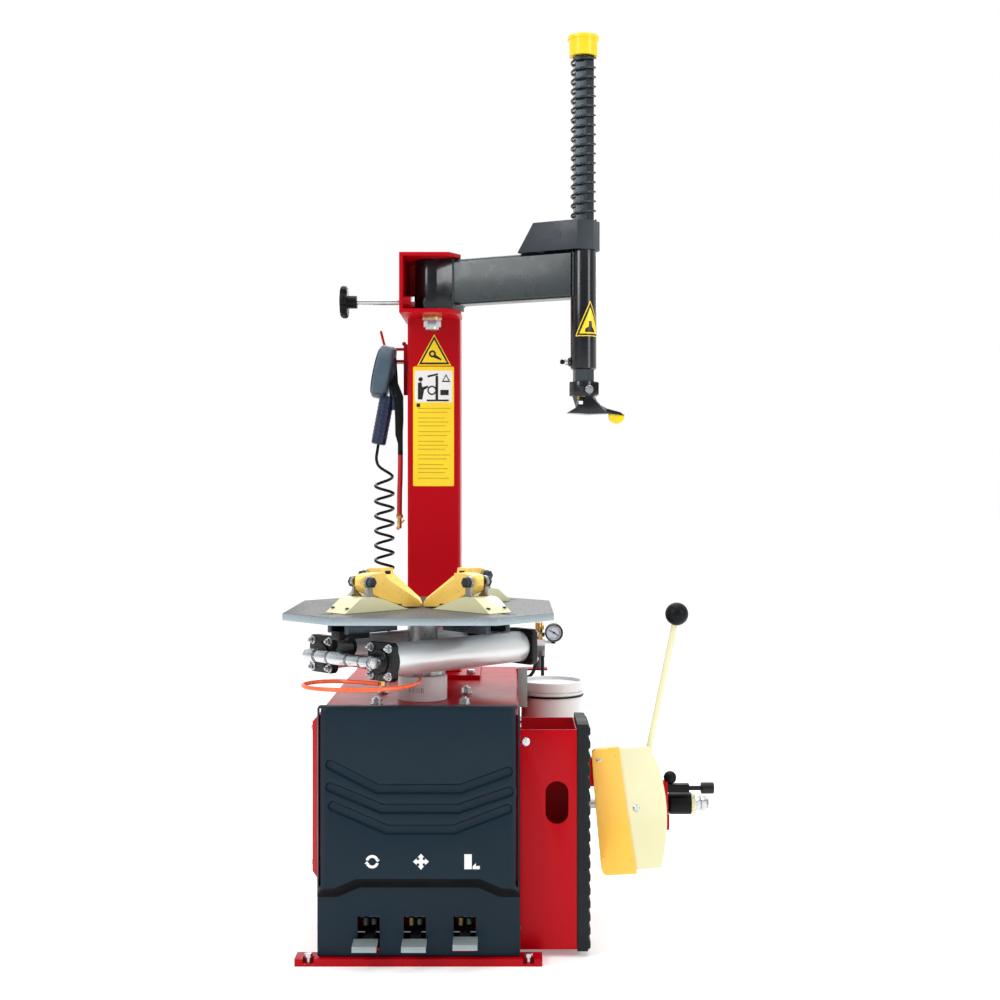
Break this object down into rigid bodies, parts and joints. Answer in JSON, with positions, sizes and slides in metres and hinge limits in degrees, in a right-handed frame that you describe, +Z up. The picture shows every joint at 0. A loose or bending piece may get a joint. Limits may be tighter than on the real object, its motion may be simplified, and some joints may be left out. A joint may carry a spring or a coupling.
{
  "type": "tyre changer",
  "caption": "Swing-arm tyre changer with pedal cabinet, turntable with sliding clamp jaws, column, spring-topped hex mast and mount head, and side bead breaker.",
  "frame": {"origin": "on the floor at the centre of the four anchor holes in the base rails", "axes": "+X to the operator's right, +Y away from the operator, +Z up"},
  "size_m": [0.865, 0.8027, 1.858],
  "materials": {
    "machine_red": "gloss red enamel",
    "teal_black": "satin near-black paint",
    "cream_paint": "satin cream paint",
    "jaw_yellow": "yellow polymer coating",
    "yellow_plastic": "moulded yellow plastic",
    "slate_plastic": "moulded dark slate plastic",
    "white_plastic": "moulded white plastic",
    "black_plastic": "moulded black plastic",
    "blue_plastic": "moulded dark blue plastic",
    "black_rubber": "moulded black rubber",
    "red_rubber": "red rubber hose",
    "orange_tube": "orange polyurethane tube",
    "black_metal": "black oxide",
    "dark_steel": "dark oiled steel",
    "bright_steel": "ground steel",
    "bare_aluminium": "satin aluminium",
    "grey_iron": "grey casting",
    "brass_fitting": "machined brass"
  },
  "bodies": {
    "machine": {"base_rails": "machine_red", "frame_bolts": "dark_steel", "cabinet": "machine_red", "left_side_panel": "machine_red", "front_cover": "slate_plastic", "side_box": "machine_red", "rubber_pad": "black_rubber", "gearbox_housing": "grey_iron", "hub_collar": "white_plastic", "motor": "grey_iron", "drive_belt": "black_rubber", "inner_frame": "dark_steel", "column": "machine_red", "arm_pivot_pin": "bright_steel", "bead_arm_hinge": "machine_red", "accessory_brackets": "machine_red", "air_regulator": "brass_fitting", "pressure_gauge": "black_plastic", "air_hoses": "black_rubber", "bucket": "white_plastic", "inflator_gun": "blue_plastic", "red_hose": "red_rubber", "air_chuck": "brass_fitting", "curly_hose": "black_rubber"},
    "turntable": {"turntable_shaft": "bright_steel", "turntable_plate": "bright_steel", "orange_hose": "orange_tube"},
    "slide_1": {"jaw_slide_1": "cream_paint", "jaw_1": "jaw_yellow", "clamp_barrels": "bare_aluminium", "clamp_heads": "black_metal"},
    "slide_2": {"jaw_slide_2": "cream_paint", "jaw_2": "jaw_yellow"},
    "slide_3": {"jaw_slide_3": "cream_paint", "jaw_3": "jaw_yellow", "clamp_rods": "dark_steel"},
    "slide_4": {"jaw_slide_4": "cream_paint", "jaw_4": "jaw_yellow"},
    "worm": {"gearbox_pulley": "grey_iron"},
    "motor_rotor": {"motor_pulley": "grey_iron"},
    "arm": {"swing_arm": "teal_black", "lock_cover": "teal_black"},
    "mast": {"hex_shaft": "dark_steel", "return_spring": "black_metal", "shaft_cap": "yellow_plastic", "mount_head": "black_metal", "head_insert": "yellow_plastic"},
    "arm_stop": {"handwheel_screw": "black_plastic"},
    "bead_lever_arm": {"bead_arm": "machine_red"},
    "blade": {"bead_blade": "cream_paint", "blade_guard": "jaw_yellow", "blade_lever": "cream_paint"},
    "reach_pin": {"bead_plunger": "black_metal"},
    "breaker_cylinder": {"bead_cylinder": "grey_iron"},
    "breaker_rod": {"bead_rod": "bright_steel"},
    "rotate_pedal": {"pedal_rotate": "bare_aluminium"},
    "clamp_pedal": {"pedal_clamp": "bare_aluminium"},
    "bead_pedal": {"pedal_bead": "bare_aluminium"},
    "needle": {"gauge_needle": "black_plastic"},
    "trigger": {"inflator_trigger": "black_plastic"}
  },
  "joints": [
    {"name": "turntable_spin", "type": "hinge", "parent": "machine", "child": "turntable", "pos_m": [-0.005, -0.12, 0.5], "axis": [0, 0, 1], "continuous": true},
    {"name": "worm_spin", "type": "hinge", "parent": "machine", "child": "worm", "pos_m": [-0.116, -0.045, 0.405], "axis": [1, 0, 0], "continuous": true},
    {"name": "motor_spin", "type": "hinge", "parent": "machine", "child": "motor_rotor", "pos_m": [-0.116, 0.25, 0.385], "axis": [1, 0, 0], "continuous": true},
    {"name": "clamp_1", "type": "slide", "parent": "turntable", "child": "slide_1", "axis": [0.7071, 0.7071, 0], "range_m": [0, 0.08]},
    {"name": "clamp_2", "type": "slide", "parent": "turntable", "child": "slide_2", "axis": [-0.7071, 0.7071, 0], "range_m": [0, 0.08]},
    {"name": "clamp_3", "type": "slide", "parent": "turntable", "child": "slide_3", "axis": [-0.7071, -0.7071, 0], "range_m": [0, 0.08]},
    {"name": "clamp_4", "type": "slide", "parent": "turntable", "child": "slide_4", "axis": [0.7071, -0.7071, 0], "range_m": [0, 0.08]},
    {"name": "arm_swing", "type": "hinge", "parent": "machine", "child": "arm", "pos_m": [0, 0.165, 1.35], "axis": [0, 0, 1], "range_deg": [-63, 54]},
    {"name": "mast_slide", "type": "slide", "parent": "arm", "child": "mast", "axis": [0, 0, -1], "range_m": [0, 0.23], "deforming": ["return_spring"]},
    {"name": "stop_screw_feed", "type": "slide", "parent": "machine", "child": "arm_stop", "axis": [1, 0, 0], "range_m": [-0.015, 0.015]},
    {"name": "bead_arm_swing", "type": "hinge", "parent": "machine", "child": "bead_lever_arm", "pos_m": [0.245, 0.33, 0.241], "axis": [0, 0, 1], "range_deg": [0, 25]},
    {"name": "cylinder_yaw", "type": "hinge", "parent": "machine", "child": "breaker_cylinder", "pos_m": [-0.04, -0.04, 0.241], "axis": [0, 0, 1], "range_deg": [0, 12.5]},
    {"name": "bead_rod_slide", "type": "slide", "parent": "breaker_cylinder", "child": "breaker_rod", "axis": [1, 0, 0], "range_m": [0, 0.155]},
    {"name": "blade_tilt", "type": "hinge", "parent": "bead_lever_arm", "child": "blade", "pos_m": [0.462, -0.215, 0.241], "axis": [0, 0, 1], "range_deg": [0, 10]},
    {"name": "reach_pin_pull", "type": "slide", "parent": "bead_lever_arm", "child": "reach_pin", "axis": [1, 0, 0], "range_m": [0, 0.012], "stiffness_N_per_m": 1500, "springref_m": -0.004},
    {"name": "rotate_pedal_press", "type": "hinge", "parent": "machine", "child": "rotate_pedal", "pos_m": [-0.095, -0.15, 0.06], "axis": [1, 0, 0], "range_deg": [-4, 4], "stiffness_Nm_per_rad": 25},
    {"name": "clamp_pedal_press", "type": "hinge", "parent": "machine", "child": "clamp_pedal", "pos_m": [-0.0075, -0.15, 0.06], "axis": [1, 0, 0], "range_deg": [0, 4], "stiffness_Nm_per_rad": 25, "springref_deg": -5.73},
    {"name": "bead_pedal_press", "type": "hinge", "parent": "machine", "child": "bead_pedal", "pos_m": [0.087, -0.15, 0.06], "axis": [1, 0, 0], "range_deg": [0, 4], "stiffness_Nm_per_rad": 25, "springref_deg": -5.73},
    {"name": "gauge_needle_turn", "type": "hinge", "parent": "machine", "child": "needle", "pos_m": [0.277, 0.34, 0.559], "axis": [0, 1, 0], "range_deg": [0, 240], "stiffness_Nm_per_rad": 0.0005},
    {"name": "trigger_squeeze", "type": "hinge", "parent": "machine", "child": "trigger", "pos_m": [-0.089, 0.267, 1.112], "axis": [0, 1, 0], "range_deg": [0, 6], "stiffness_Nm_per_rad": 2, "springref_deg": -2.86}
  ],
  "couplings": [
    {"joint": "worm_spin", "follows": "turntable_spin", "ratio": 36},
    {"joint": "motor_spin", "follows": "turntable_spin", "ratio": 66.667},
    {"joint": "clamp_2", "follows": "clamp_1", "ratio": 1},
    {"joint": "clamp_3", "follows": "clamp_1", "ratio": 1},
    {"joint": "clamp_4", "follows": "clamp_1", "ratio": 1},
    {"joint": "cylinder_yaw", "follows": "bead_arm_swing", "ratio": 0.4704},
    {"joint": "bead_rod_slide", "follows": "bead_arm_swing", "m_per_rad": 0.3383}
  ]
}
